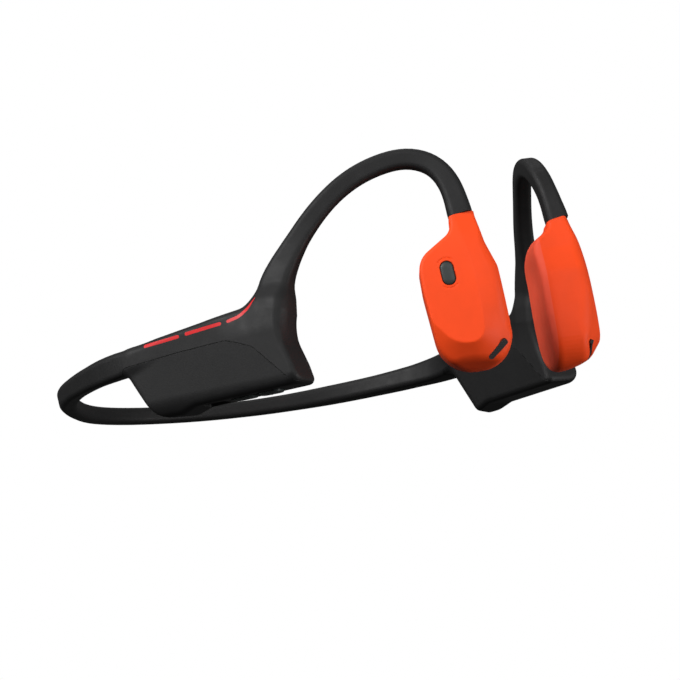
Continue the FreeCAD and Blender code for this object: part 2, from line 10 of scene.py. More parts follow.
import bpy
import numpy as np
from mathutils import Matrix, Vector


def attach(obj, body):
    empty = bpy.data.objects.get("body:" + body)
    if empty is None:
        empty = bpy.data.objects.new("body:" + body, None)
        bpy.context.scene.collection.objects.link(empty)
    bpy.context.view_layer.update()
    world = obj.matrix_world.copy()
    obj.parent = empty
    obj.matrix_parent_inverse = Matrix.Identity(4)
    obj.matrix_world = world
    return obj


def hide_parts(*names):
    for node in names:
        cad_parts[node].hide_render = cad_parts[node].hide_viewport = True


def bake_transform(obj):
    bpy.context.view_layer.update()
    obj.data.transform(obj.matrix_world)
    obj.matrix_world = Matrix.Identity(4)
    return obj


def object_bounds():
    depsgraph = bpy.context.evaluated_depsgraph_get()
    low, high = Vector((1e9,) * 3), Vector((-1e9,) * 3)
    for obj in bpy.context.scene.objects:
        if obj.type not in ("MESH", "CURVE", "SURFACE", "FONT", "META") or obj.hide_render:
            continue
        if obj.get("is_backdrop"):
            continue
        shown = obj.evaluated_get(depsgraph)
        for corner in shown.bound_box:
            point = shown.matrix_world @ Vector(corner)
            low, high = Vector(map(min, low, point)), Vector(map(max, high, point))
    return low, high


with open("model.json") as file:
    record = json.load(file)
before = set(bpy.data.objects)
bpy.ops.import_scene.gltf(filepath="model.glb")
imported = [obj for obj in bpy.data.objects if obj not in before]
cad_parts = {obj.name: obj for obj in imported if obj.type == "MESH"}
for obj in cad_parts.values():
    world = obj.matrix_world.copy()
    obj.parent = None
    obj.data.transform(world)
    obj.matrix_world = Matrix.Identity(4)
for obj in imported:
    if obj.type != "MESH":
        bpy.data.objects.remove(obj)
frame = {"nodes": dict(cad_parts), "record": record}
CAD_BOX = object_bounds()
MM = 0.001
UP = np.array([0.0, 0.0, 1.0])

# ---------------------------------------------------------------- driving dimensions, millimetres
# Neckband centre line from the middle of the back into the left pod, then rows of
# (reach along it, width, height, degrees that the section leans outward).
BAND_PATH = [(0, 62.7, 11.3), (15.7, 59.4, 11.1), (30.7, 51.0, 11.0), (44.5, 40.0, 11.7), (53.4, 25.9, 12.5),
             (56.3, 9.0, 13.6), (54.6, 3.0, 14.0), (53.1, -3.0, 14.3)]
BAND_WIDTHS = [(0.0, 3.9, 3.9, 0.0), (17.0, 3.9, 3.85, 0.0), (30.0, 3.6, 3.85, 0.0), (42.0, 3.7, 4.1, 3.0),
               (52.0, 4.3, 4.4, 6.0), (64.0, 4.65, 4.55, 9.0), (74.0, 4.8, 5.05, 9.0), (80.0, 5.8, 5.5, 8.0),
               (85.0, 7.8, 5.5, 6.0), (88.0, 9.0, 5.0, 2.0), (92.0, 7.6, 4.2, 0.0), (98.0, 5.4, 3.0, 0.0)]
BAND_CORNER = 1.25

# Pod, in its own (forward, outward, up) from this point and turned by this many degrees.
POD_ORIGIN = (56.0, 9.2, 0.0)
POD_YAW = 14.7
POD_HALF_THICK = 4.7
POD_EDGE_ROUND = 1.3
STEM_SHIFT, STEM_THINNING = 0.9, 1.1    # inward shift and loss on each side where the stem starts

# Stem and ear hook centre line, ending just past the neck joint.
HOOK_PATH = [(47.4, -24.2, 5.0), (47.0, -24.9, 12.0), (46.0, -25.6, 18.0), (44.3, -26.3, 24.2),
             (41.7, -28.5, 30.0), (38.3, -31.3, 35.6), (34.5, -34.8, 40.7), (30.3, -38.7, 44.6),
             (25.4, -43.2, 47.1), (21.1, -48.0, 47.5), (18.3, -52.1, 45.2), (17.1, -55.05, 40.3),
             (17.15, -56.7, 33.3), (17.15, -57.2, 31.0)]
# Where its section starts to turn to the loop's own plane, and over what reach.
HOOK_TURN_START = 19.4
HOOK_TURN_REACH = 20.3
HOOK_PLANE_YAW = 41.0
# Rows of (reach along it, size in the loop's plane, size across it).
HOOK_WIDTHS = [(0.0, 3.0, 3.0), (7.0, 5.4, 5.0), (10.5, 7.0, 6.6), (13.2, 8.0, 7.6), (19.4, 7.0, 5.6),
               (22.5, 6.1, 5.1), (26.4, 5.2, 4.5), (30.5, 4.55, 4.2), (34.0, 4.45, 4.05), (42.6, 4.3, 3.85),
               (51.3, 4.3, 3.9), (60.0, 4.3, 4.0), (67.0, 4.4, 4.1), (73.0, 4.75, 4.1), (76.0, 4.95, 4.4),
               (78.5, 5.25, 4.8), (81.0, 5.3, 4.9)]
HOOK_CORNER_SHARE = 0.3

# Transducer, likewise, from the joint at its neck.
NECK_JOINT = (16.9, -56.7, 33.3)
TRANSDUCER_YAW = 40.0
COVER_LEVEL = -5.3

# Function key on its outer face: centre as (forward, up), size and tilt in degrees.
FUNCTION_KEY = (-4.8, -12.6)
FUNCTION_KEY_SIZE = (2.75, 5.1)     # width, length
FUNCTION_KEY_TILT = 5.0
KEY_PLAY = 0.12     # gap all round a key in its opening

# Under the pod, in its own (forward, outward): the keys' centres, and the port's start, end and half width.
VOLUME_KEYS = {"volume_up": 33.2, "volume_down": 27.0}
VOLUME_KEY_SIZE = (5.5, 4.0)
VOLUME_KEY_CORNER = 1.4
CONTACT_PORT = (17.4, 22.6, 2.5)
PORT_CORNER = 0.7


# ---------------------------------------------------------------- vectors and curves
def unit(v):
    return v / np.maximum(np.linalg.norm(v, axis=-1, keepdims=True), 1e-12)


def local_axes(yaw):
    """Forward and outward unit vectors of a left-hand piece turned by `yaw` degrees."""
    a = math.radians(yaw)
    return np.array([-math.sin(a), -math.cos(a), 0.0]), np.array([math.cos(a), -math.sin(a), 0.0])


def to_local(points, origin, yaw):
    """World points as (forward, outward, up) from the origin."""
    forward, outward = local_axes(yaw)
    offset = points - np.array(origin)
    return np.stack([offset @ forward, offset @ outward, offset[:, 2]], axis=1)


def to_world(points, origin, yaw):
    forward, outward = local_axes(yaw)
    points = np.asarray(points, float)
    return np.array(origin) + points[:, :1] * forward + points[:, 1:2] * outward + points[:, 2:] * UP


def in_pod(points):
    return to_local(points, POD_ORIGIN, POD_YAW)


def in_transducer(points):
    return to_local(points, NECK_JOINT, TRANSDUCER_YAW)


def smooth_path(knots, spacing):
    """Natural cubic spline through the knots, as evenly spaced points and their reach along it."""
    knots = np.array(knots, float)
    t = np.concatenate([[0], np.cumsum(np.linalg.norm(np.diff(knots, axis=0), axis=1))])
    h = np.diff(t)
    n = len(knots)
    matrix, right = np.eye(n), np.zeros((n, 3))
    for i in range(1, n - 1):
        matrix[i, i - 1:i + 2] = h[i - 1], 2 * (h[i - 1] + h[i]), h[i]
        right[i] = 6 * ((knots[i + 1] - knots[i]) / h[i] - (knots[i] - knots[i - 1]) / h[i - 1])
    bend = np.linalg.solve(matrix, right)

    fine = np.linspace(0, t[-1], 1500)
    i = np.clip(np.searchsorted(t, fine, side="right") - 1, 0, n - 2)
    a, b = (t[i + 1] - fine)[:, None], (fine - t[i])[:, None]
    step = h[i][:, None]
    curve = (bend[i] * a ** 3 + bend[i + 1] * b ** 3) / (6 * step) \
        + (knots[i] / step - bend[i] * step / 6) * a + (knots[i + 1] / step - bend[i + 1] * step / 6) * b
    reach = np.concatenate([[0], np.cumsum(np.linalg.norm(np.diff(curve, axis=0), axis=1))])
    even = np.linspace(0, reach[-1], int(reach[-1] / spacing) + 2)
    return np.stack([np.interp(even, reach, curve[:, k]) for k in range(3)], axis=1), even


def columns(rows, reach):
    """Every column of (reach, value, value...) rows, read at the given reaches."""
    rows = np.array(rows, float)
    return [np.interp(reach, rows[:, 0], rows[:, k]) for k in range(1, rows.shape[1])]


def rounded_outline(corners, arc_steps=7):
    """Closed outline through (x, y, radius) corners, each replaced by points along its arc."""
    corners = np.array(corners, float)
    points = []
    for i, (x, y, radius) in enumerate(corners):
        here = np.array([x, y])
        before, after = unit(corners[i - 1][:2] - here), unit(corners[(i + 1) % len(corners)][:2] - here)
        half = math.acos(np.clip(before @ after, -1, 1)) / 2
        if radius < 1e-6 or half > math.radians(89.9):
            points.append(here)
            continue
        centre = here + unit(before + after) * radius / math.sin(half)
        first = here + before * radius / math.tan(half) - centre
        last = here + after * radius / math.tan(half) - centre
        sweep = math.atan2(first[0] * last[1] - first[1] * last[0], first @ last)
        for k in range(arc_steps + 1):
            c, s = math.cos(sweep * k / arc_steps), math.sin(sweep * k / arc_steps)
            points.append(centre + np.array([c * first[0] - s * first[1], s * first[0] + c * first[1]]))
    return np.array(points)


# ---------------------------------------------------------------- distance functions
def outline_distance(x, y, outline):
    """Signed distance in the plane from points to a closed outline."""
    best = np.full(x.shape, 1e9)
    inside = np.zeros(x.shape, bool)
    for (ax, ay), (bx, by) in zip(outline, np.roll(outline, -1, axis=0)):
        ex, ey = bx - ax, by - ay
        if ex * ex + ey * ey < 1e-12:
            continue
        px, py = x - ax, y - ay
        k = np.clip((px * ex + py * ey) / (ex * ex + ey * ey), 0, 1)
        best = np.minimum(best, (px - k * ex) ** 2 + (py - k * ey) ** 2)
        crosses = (ay > y) != (by > y)
        if ey:
            inside ^= crosses & (x < ax + ex * (y - ay) / ey)
    return np.where(inside, -1, 1) * np.sqrt(best)


def larger(a, b, k):
    """Rounded intersection of two distances."""
    h = np.maximum(k - np.abs(a - b), 0) / k
    return np.maximum(a, b) + h * h * k / 4


def smaller(a, b, k):
    """Blended union of two distances."""
    return -larger(-a, -b, k)


def ease(x, low, high):
    """Smooth step from 0 at low to 1 at high."""
    k = np.clip((x - low) / (high - low), 0, 1)
    return k * k * (3 - 2 * k)


def rounded_pair(a, b, radius):
    """Intersection of two distances with an exact round of that radius."""
    u, v = a + radius, b + radius
    return np.minimum(np.maximum(u, v), 0) + np.hypot(np.maximum(u, 0), np.maximum(v, 0)) - radius


def stadium_distance(x, y, length, width):
    """A bar along y with round ends."""
    straight = (length - width) / 2
    return np.hypot(x, np.maximum(np.abs(y) - straight, 0)) - width / 2


def rounded_box_distance(x, y, length, width, corner):
    u, v = np.abs(x) - length / 2 + corner, np.abs(y) - width / 2 + corner
    return np.hypot(np.maximum(u, 0), np.maximum(v, 0)) + np.minimum(np.maximum(u, v), 0) - corner


def only_near(distance, low, high, margin=6.0):
    """The same distance near its own box, and the distance to that box further away."""
    low, high = np.array(low, float), np.array(high, float)

    def limited(points):
        away = np.linalg.norm(np.maximum(np.maximum(low - points, points - high), 0), axis=1)
        near = away < margin
        result = away + 0.5
        result[near] = distance(points[near])
        return result

    return limited


class Tube:
    """A bar of rounded rectangular section along a path, as a distance function."""

    def __init__(self, path, across, widths, heights, corners):
        along = unit(np.gradient(path, axis=0))
        self.path, self.along = path, along
        self.across = unit(across - along * np.sum(across * along, axis=1, keepdims=True))
        self.rise = np.cross(self.across, along)
        sizes = [np.asarray(size, float) * np.ones(len(path)) for size in (widths, heights, corners)]
        self.sizes = np.stack(sizes, axis=1)

    def __call__(self, points):
        best = np.full(len(points), 1e9)
        index = np.zeros(len(points), int)
        share = np.zeros(len(points))
        for i in range(len(self.path) - 1):
            start, run = self.path[i], self.path[i + 1] - self.path[i]
            offset = points - start
            k = np.clip(offset @ run / (run @ run), 0, 1)
            gap = np.sum((offset - k[:, None] * run) ** 2, axis=1)
            nearer = gap < best
            best[nearer], index[nearer], share[nearer] = gap[nearer], i, k[nearer]

        def between(values):
            return values[index] * (1 - share[:, None]) + values[index + 1] * share[:, None]

        offset = points - between(self.path)
        width, height, corner = between(self.sizes).T
        u = np.sum(offset * unit(between(self.across)), axis=1)
        v = np.sum(offset * unit(between(self.rise)), axis=1)
        before = np.where((index == 0) & (share == 0), -(offset @ self.along[0]), -9)
        after = np.where((index == len(self.path) - 2) & (share == 1), offset @ self.along[-1], -9)
        return np.maximum(rounded_box_distance(u, v, width, height, corner), np.maximum(before, after))


# ---------------------------------------------------------------- meshing
GRID_BLOCK = 8      # cells along each side of the blocks that the grid is sampled in
BLOCKS_AT_ONCE = 400


def even_quads(distance, low, high, step):
    """Quads over the zero surface of a distance function: one vertex in each cell that it crosses."""
    low, high = np.array(low, float), np.array(high, float)
    block = GRID_BLOCK
    counts = np.ceil((high - low) / (step * block)).astype(int)
    shape = counts * block + 1
    field = np.full(shape, 9.0, np.float32)
    middles = [low[k] + (np.arange(counts[k]) + 0.5) * block * step for k in range(3)]
    centres = np.stack(np.meshgrid(*middles, indexing="ij"), -1)
    coarse = distance(centres.reshape(-1, 3)).reshape(counts)
    near = np.abs(coarse) < block * step * 1.05
    for corner in np.argwhere(~near & (coarse < 0)) * block:
        field[tuple(slice(c, c + block + 1) for c in corner)] = -9
    local = np.stack(np.meshgrid(*[np.arange(block + 1)] * 3, indexing="ij"), -1).reshape(-1, 3)
    corners = np.argwhere(near)
    for start in range(0, len(corners), BLOCKS_AT_ONCE):
        some = corners[start:start + BLOCKS_AT_ONCE]
        index = (some[:, None, :] * block + local[None]).reshape(-1, 3)
        field[tuple(index.T)] = distance(low + index * step)

    inside = field < 0
    total = np.zeros(tuple(shape - 1), np.uint8)
    for shift in np.ndindex(2, 2, 2):
        total += inside[tuple(slice(d, n - 1 + d) for d, n in zip(shift, shape))]
    crossed = (total > 0) & (total < 8)
    cells = np.argwhere(crossed)
    number = np.full(crossed.shape, -1, np.int32)
    number[crossed] = np.arange(len(cells))

    sums, hits = np.zeros((len(cells), 3)), np.zeros(len(cells))
    quads = []
    for axis in range(3):
        one = np.eye(3, dtype=int)[axis]
        others = [k for k in range(3) if k != axis]
        side_a, side_b = np.eye(3, dtype=int)[others[0]], np.eye(3, dtype=int)[others[1]]
        for a in (0, 1):
            for b in (0, 1):
                base = cells + a * side_a + b * side_b
                f0, f1 = field[tuple(base.T)], field[tuple((base + one).T)]
                hit = (f0 < 0) != (f1 < 0)
                where = base[hit] + one * (f0[hit] / (f0[hit] - f1[hit]))[:, None]
                sums[hit] += where
                hits[hit] += 1
        limit = [slice(0, n) for n in shape]
        limit[axis] = slice(0, shape[axis] - 1)
        shifted = [slice(0, n) for n in shape]
        shifted[axis] = slice(1, shape[axis])
        change = inside[tuple(limit)] != inside[tuple(shifted)]
        edges = np.argwhere(change)
        within = (edges[:, others] > 0) & (edges[:, others] < shape[others] - 1)
        edges = edges[np.all(within, axis=1)]
        ring = [number[tuple((edges - s).T)] for s in
                (side_a + side_b, side_b, np.zeros(3, int), side_a)]
        ring = np.stack(ring, axis=1)
        flip = inside[tuple(edges.T)] == (axis == 1)
        ring[flip] = ring[flip][:, ::-1]
        quads.append(ring)
    vertices = low + sums / hits[:, None] * step
    return settle(distance, vertices, np.concatenate(quads), step)


def gradient(distance, points, value=None, reach=0.02):
    """Slope of a distance function, by small steps from its value at the points."""
    value = distance(points) if value is None else value
    return np.stack([(distance(points + step) - value) / reach for step in np.eye(3) * reach], axis=1)


def settle(distance, vertices, quads, step, rounds=2):
    """Evens the quads out and lays every vertex exactly on the surface."""
    for _ in range(rounds):
        sums, hits = np.zeros_like(vertices), np.zeros(len(vertices))
        for k in range(4):
            np.add.at(sums, quads[:, k], vertices[quads[:, (k + 1) % 4]])
            np.add.at(hits, quads[:, k], 1)
        mean = sums / np.maximum(hits, 1)[:, None]
        value = distance(vertices)
        slope = gradient(distance, vertices, value)
        normal = unit(slope)
        pull = mean - vertices
        move = value / np.maximum(np.linalg.norm(slope, axis=1), 0.3)
        vertices = vertices + 0.5 * (pull - normal * np.sum(pull * normal, axis=1, keepdims=True))
        vertices -= normal * np.clip(move, -step / 2, step / 2)[:, None]
    return vertices, [tuple(q) for q in quads.tolist()]


def split(mesh, measure):
    """Cuts a mesh exactly where `measure` is zero. Returns the parts where it is positive and negative."""
    vertices, faces = mesh
    value = measure(vertices)
    value[np.abs(value) < 1e-5] = 1e-5
    positive = value > 0
    points = vertices.tolist()
    cuts = {}

    def cut(a, b):
        key = (min(a, b), max(a, b))
        if key not in cuts:
            k = value[a] / (value[a] - value[b])
            points.append((vertices[a] + (vertices[b] - vertices[a]) * k).tolist())
            cuts[key] = len(points) - 1
        return cuts[key]

    sides = {True: [], False: []}
    for face in faces:
        marks = [bool(positive[v]) for v in face]
        if all(marks) or not any(marks):
            sides[marks[0]].append(face)
            continue
        for wanted in (True, False):
            kept = []
            for i, a in enumerate(face):
                b = face[(i + 1) % len(face)]
                if positive[a] == wanted:
                    kept.append(a)
                if positive[a] != positive[b]:
                    kept.append(cut(a, b))
            if len(kept) > 2:
                sides[wanted].append(tuple(kept))
    points = np.array(points)
    return tuple(compact(points, sides[side]) for side in (True, False))


def compact(points, faces):
    """The faces with only the points that they use."""
    used = sorted({v for face in faces for v in face})
    number = {v: i for i, v in enumerate(used)}
    return points[used], [tuple(number[v] for v in face) for face in faces]


def rim_loops(faces):
    """Boundary edges of an open mesh, as the next vertex after each boundary vertex."""
    edges = {}
    for face in faces:
        for i, a in enumerate(face):
            edges[(a, face[(i + 1) % len(face)])] = True
    return {a: b for a, b in edges if (b, a) not in edges}


# Rows of (back from the cut, depth below the surface), from the piece's edge to the foot of its wall.
LIP = [(0.10, 0.0), (0.03, 0.04), (0.0, 0.12), (0.0, 0.9)]
FLUSH = [(0.0, 0.0), (0.0, 0.4)]
ON_CUT = 0.02       # greatest distance from the cut of a vertex that belongs to it


def lipped(mesh, distance, measure, side, lip=LIP):
    """Gives the cut edge of a piece a small round and a wall going in.

    `side` is the sign of `measure` on the piece.
    """
    vertices, faces = mesh
    follow = rim_loops(faces)
    on_cut = {v for v in follow if abs(measure(vertices[v][None])[0]) < ON_CUT}
    rim = sorted(on_cut)
    if not rim:
        return mesh
    base = vertices[rim]
    normal = unit(gradient(distance, base))
    away = gradient(measure, base) * side
    away = unit(away - normal * np.sum(away * normal, axis=1, keepdims=True))
    vertices = vertices.copy()
    back, _ = lip[0]
    vertices[rim] = base + away * back
    rings = [dict(zip(rim, rim))]
    extra = []
    for back, deep in lip[1:]:
        ring = {}
        for v, p, a, n in zip(rim, base, away, normal):
            ring[v] = len(vertices) + len(extra)
            extra.append(p + a * back - n * deep)
        rings.append(ring)
    faces = list(faces)
    for outer, inner in zip(rings, rings[1:]):
        for a, b in follow.items():
            if a in outer and b in outer:
                faces.append((outer[b], outer[a], inner[a], inner[b]))
    return np.concatenate([vertices, np.array(extra)]), faces


def joined(meshes):
    vertices, faces, count = [], [], 0
    for part, part_faces in meshes:
        vertices.append(part)
        faces += [tuple(v + count for v in face) for face in part_faces]
        count += len(part)
    return np.concatenate(vertices), faces


def mirror_mesh(mesh):
    vertices, faces = mesh
    return vertices * np.array([-1, 1, 1]), [face[::-1] for face in faces]


SHARP_ANGLE = 27.0  # degrees; edges that turn by more are shaded sharp


def make_object(name, mesh, material):
    vertices, faces = mesh
    data = bpy.data.meshes.new(name)
    data.from_pydata((np.asarray(vertices) * MM).tolist(), [], faces)
    data.validate()
    data.polygons.foreach_set("use_smooth", [True] * len(data.polygons))
    data.set_sharp_from_angle(angle=math.radians(SHARP_ANGLE))
    data.materials.append(material)
    thing = bpy.data.objects.new(name, data)
    bpy.context.scene.collection.objects.link(thing)
    return thing


# ---------------------------------------------------------------- materials
def new_material(name):
    material = bpy.data.materials.new(name)
    material.use_nodes = True
    tree = material.node_tree
    return material, tree, tree.nodes["Principled BSDF"]


def noise(tree, scale, detail=3.0, stretch=(1, 1, 1)):
    """Noise of a scale in features per metre, held to the object."""
    place = tree.nodes.new("ShaderNodeTexCoord")
    mapping = tree.nodes.new("ShaderNodeMapping")
    mapping.inputs["Scale"].default_value = stretch
    texture = tree.nodes.new("ShaderNodeTexNoise")
    texture.inputs["Scale"].default_value = scale
    texture.inputs["Detail"].default_value = detail
    tree.links.new(place.outputs["Object"], mapping.inputs["Vector"])
    tree.links.new(mapping.outputs["Vector"], texture.inputs["Vector"])
    return texture.outputs["Fac"]


def ramp(tree, value, stops):
    """Colour ramp of (position, colour) stops."""
    node = tree.nodes.new("ShaderNodeValToRGB")
    node.color_ramp.elements[0].position, node.color_ramp.elements[1].position = stops[0][0], stops[-1][0]
    node.color_ramp.elements[0].color = (*stops[0][1], 1)
    node.color_ramp.elements[1].color = (*stops[-1][1], 1)
    for position, colour in stops[1:-1]:
        node.color_ramp.elements.new(position).color = (*colour, 1)
    tree.links.new(value, node.inputs["Fac"])
    return node.outputs["Color"]


def grey_range(tree, value, low, high):
    """The middle range of a noise, stretched from low to high."""
    node = tree.nodes.new("ShaderNodeMapRange")
    node.inputs["From Min"].default_value, node.inputs["From Max"].default_value = 0.3, 0.7
    node.inputs["To Min"].default_value, node.inputs["To Max"].default_value = low, high
    tree.links.new(value, node.inputs["Value"])
    return node.outputs["Result"]


def add_bump(tree, shader, height, distance):
    node = tree.nodes.new("ShaderNodeBump")
    node.inputs["Distance"].default_value = distance
    node.inputs["Strength"].default_value = 1.0
    tree.links.new(height, node.inputs["Height"])
    tree.links.new(node.outputs["Normal"], shader.inputs["Normal"])


def moulded(name, colour, roughness, grain, depth, spread=0.12, specular=0.5):
    """Moulded plastic or silicone: a fine grain, slow colour drift and uneven gloss.

    `grain` is in features per metre, `depth` in metres, and `spread` is the share that the colour drifts.
    """
    material, tree, shader = new_material(name)
    dark = tuple(c * (1 - spread) for c in colour)
    light = tuple(c * (1 + spread) for c in colour)
    shade = ramp(tree, noise(tree, 140.0), [(0.3, dark), (0.7, light)])
    tree.links.new(shade, shader.inputs["Base Color"])
    gloss = grey_range(tree, noise(tree, 420.0), roughness - 0.05, roughness + 0.05)
    tree.links.new(gloss, shader.inputs["Roughness"])
    shader.inputs["Specular IOR Level"].default_value = specular
    add_bump(tree, shader, noise(tree, grain, 2.0), depth)
    return material


def metal(name, colour, roughness, stretch=(1, 1, 12)):
    """Drawn or plated metal, with marks that run across the stretched axis."""
    material, tree, shader = new_material(name)
    shader.inputs["Metallic"].default_value = 1.0
    dark = tuple(c * 0.8 for c in colour)
    shade = ramp(tree, noise(tree, 900.0, 4.0, stretch), [(0.3, dark), (0.7, colour)])
    tree.links.new(shade, shader.inputs["Base Color"])
    gloss = grey_range(tree, noise(tree, 1500.0, 2.0, stretch), roughness - 0.08, roughness + 0.08)
    tree.links.new(gloss, shader.inputs["Roughness"])
    add_bump(tree, shader, noise(tree, 2500.0, 2.0, stretch), 0.000004)
    return material


def woven(name, colour):
    """Fine acoustic mesh: two crossed sets of threads."""
    material, tree, shader = new_material(name)
    place = tree.nodes.new("ShaderNodeTexCoord")
    waves = []
    for direction in ("X", "Z"):
        wave = tree.nodes.new("ShaderNodeTexWave")
        wave.bands_direction = direction
        wave.inputs["Scale"].default_value = 900.0
        tree.links.new(place.outputs["Object"], wave.inputs["Vector"])
        waves.append(wave.outputs["Fac"])
    both = tree.nodes.new("ShaderNodeMath")
    both.operation = "MULTIPLY"
    tree.links.new(waves[0], both.inputs[0])
    tree.links.new(waves[1], both.inputs[1])
    shade = ramp(tree, both.outputs["Value"], [(0.1, tuple(c * 0.3 for c in colour)), (0.7, colour)])
    tree.links.new(shade, shader.inputs["Base Color"])
    shader.inputs["Roughness"].default_value = 0.7
    add_bump(tree, shader, both.outputs["Value"], 0.00004)
    return material


def light_pipe(name):
    material = moulded(name, (0.5, 0.012, 0.015), 0.4, 1800.0, 0.00001, 0.1, 0.2)
    shader = material.node_tree.nodes["Principled BSDF"]
    shader.inputs["Emission Color"].default_value = (1.0, 0.07, 0.07, 1)
    shader.inputs["Emission Strength"].default_value = 0.12
    return material


MATERIALS = {
    "black_silicone": moulded("black_silicone", (0.0115, 0.0115, 0.0118), 0.56, 5200.0, 0.000012, 0.1, 0.24),
    "black_plastic": moulded("black_plastic", (0.0085, 0.0085, 0.0088), 0.52, 3600.0, 0.00002, 0.1, 0.22),
    "orange_shell": moulded("orange_shell", (0.94, 0.075, 0.013), 0.5, 5200.0, 0.00001, 0.04, 0.14),
    "orange_silicone": moulded("orange_silicone", (0.93, 0.1, 0.045), 0.6, 5200.0, 0.000014, 0.05, 0.25),
    "key_plastic": moulded("key_plastic", (0.03, 0.037, 0.036), 0.42, 4200.0, 0.000012, 0.1, 0.35),
    "red_light": light_pipe("red_light"),
    "grey_nylon": moulded("grey_nylon", (0.12, 0.12, 0.12), 0.6, 2600.0, 0.00002),
    "spring_wire": metal("spring_wire", (0.55, 0.54, 0.52), 0.3),
    "cable_jacket": moulded("cable_jacket", (0.05, 0.05, 0.05), 0.5, 2600.0, 0.00001),
    "acoustic_mesh": woven("acoustic_mesh", (0.035, 0.035, 0.035)),
    "stamped_steel": metal("stamped_steel", (0.62, 0.62, 0.62), 0.3),
    "magnet_steel": metal("magnet_steel", (0.45, 0.45, 0.46), 0.35),
    "plated_magnet": metal("plated_magnet", (0.72, 0.72, 0.72), 0.18),
    "copper_wire": metal("copper_wire", (0.78, 0.34, 0.14), 0.3),
    "switch_plastic": moulded("switch_plastic", (0.02, 0.02, 0.02), 0.4, 2600.0, 0.00001),
    "circuit_board": moulded("circuit_board", (0.02, 0.16, 0.07), 0.35, 700.0, 0.00003, 0.25),
    "gold_contacts": metal("gold_contacts", (0.95, 0.68, 0.28), 0.2),
    "battery_foil": metal("battery_foil", (0.66, 0.67, 0.68), 0.32, (1, 1, 1)),
}


def finish_cad_nodes():
    """Every carried-over CAD node takes the procedural material of its slot."""
    for row in frame["record"]["subparts"]:
        node = frame["nodes"][row["node"]]
        node.data.materials.clear()
        node.data.materials.append(MATERIALS[row["material_slot"]])


# ---------------------------------------------------------------- rear body: band, pod, stem and hook
# The pod's outlines are in its own (forward, up), as (x, y, radius) corners.
POD_OUTLINE = rounded_outline([
    (0.9, 12.0, 1.5), (6.7, 0.0, 2.2), (13.2, 0.0, 5.0), (17.0, 1.2, 4.0), (42.4, 1.7, 1.3), (41.4, 6.0, 8),
    (39.7, 11.0, 12), (39.0, 16.0, 16), (39.5, 21.6, 1.6), (34.0, 21.7, 2.5), (30.6, 20.0, 8),
    (20.7, 18.6, 40), (9.0, 17.2, 20), (2.4, 15.6, 2.5)])
SHELL_OUTLINE = rounded_outline([
    (1.5, 12.1, 0), (0.6, 11.0, 0), (0.6, -3.0, 0), (45.0, -3.0, 0), (45.0, 1.0, 0), (40.3, 2.8, 2),
    (32.6, 11.2, 4.5), (26.6, 13.6, 5), (14.0, 13.1, 0)])
LIGHT_STRIPS = [
    rounded_outline([(7.0, 15.55, 0.3), (15.8, 16.15, 0.3), (15.8, 16.9, 0.3), (7.0, 16.3, 0.3)], 4),
    rounded_outline([(17.2, 16.3, 0.3), (26.1, 17.0, 0.3), (26.1, 17.75, 0.3), (17.2, 17.05, 0.3)], 4),
    rounded_outline([(27.3, 17.1, 0.3), (30.3, 17.75, 4), (32.6, 19.2, 4), (34.8, 22.2, 0.05),
                     (32.2, 19.75, 4), (30.0, 18.4, 4), (27.3, 17.8, 0.3)], 4)]
# Planes that trim the pod, as (normal, point) in its own (forward, outward, up): the slope under its
# outer side, its rear corner and its front foot.
POD_TRIMS = [((0.0, 0.808, -0.589), (0.0, 4.7, 2.3)),
             ((-0.716, -0.501, -0.487), (6.2, -4.7, 10.4)),
             ((0.55, 0.55, -0.63), (41.2, 4.7, 3.0))]
TRIM_ROUND = 1.2
BAND_BLEND, HOOK_BLEND = 1.8, 3.0
BAND_PAST_MIDDLE = 8.0


def band_tube():
    """The neckband from just past its middle into the left pod, cut from one curve over both halves."""
    mirrored = [(-x, y, z) for x, y, z in BAND_PATH[:0:-1]]
    path, reach = smooth_path(mirrored + BAND_PATH, 1.0)
    from_middle = np.abs(reach - reach[-1] / 2)
    widths, heights, lean = columns(BAND_WIDTHS, from_middle)
    outward = unit(np.cross(unit(np.gradient(path, axis=0)), UP))
    across = outward * np.cos(np.radians(lean))[:, None] + UP * np.sin(np.radians(lean))[:, None]
    kept = path[:, 0] > -BAND_PAST_MIDDLE
    return Tube(path[kept], across[kept], widths[kept], heights[kept], BAND_CORNER)


def hook_tube():
    """Stem and ear hook: the section turns from the pod's heading to the loop's own plane."""
    path, reach = smooth_path(HOOK_PATH, 1.2)
    heights, widths = columns(HOOK_WIDTHS, reach)
    turned = np.clip((reach - HOOK_TURN_START) / HOOK_TURN_REACH, 0, 1)
    yaw = np.radians(POD_YAW + (HOOK_PLANE_YAW - POD_YAW) * turned)
    across = np.stack([np.cos(yaw), -np.sin(yaw), np.zeros_like(yaw)], axis=1)
    return Tube(path, across, widths, heights, HOOK_CORNER_SHARE * np.minimum(widths, heights))


def make_rear_body():
    band, hook = band_tube(), hook_tube()

    def plate(points):
        s, t, z = in_pod(points).T
        side = outline_distance(s, z, POD_OUTLINE)
        towards_stem = ease(z, 13.5, 23.0) * ease(s, 22.0, 34.0)
        middle = -STEM_SHIFT * towards_stem
        flank = np.abs(t - middle) - POD_HALF_THICK + STEM_THINNING * towards_stem
        body = rounded_pair(side, flank, POD_EDGE_ROUND)
        for (ns, nt, nz), (ps, pt, pz) in POD_TRIMS:
            body = larger(body, ns * (s - ps) + nt * (t - pt) + nz * (z - pz), TRIM_ROUND)
        return body

    # The boxes that hold the left pod, band and hook.
    pod = only_near(plate, (39, -36, 0), (61, 16, 22))
    band = only_near(band, (-9, -6, 8), (60, 66, 18))
    hook = only_near(hook, (14, -60, 10), (52, -20, 50))

    def body(points):
        whole = smaller(pod(points), band(points), BAND_BLEND)
        return smaller(whole, hook(points), HOOK_BLEND)

    return body


REAR_BODY = make_rear_body()


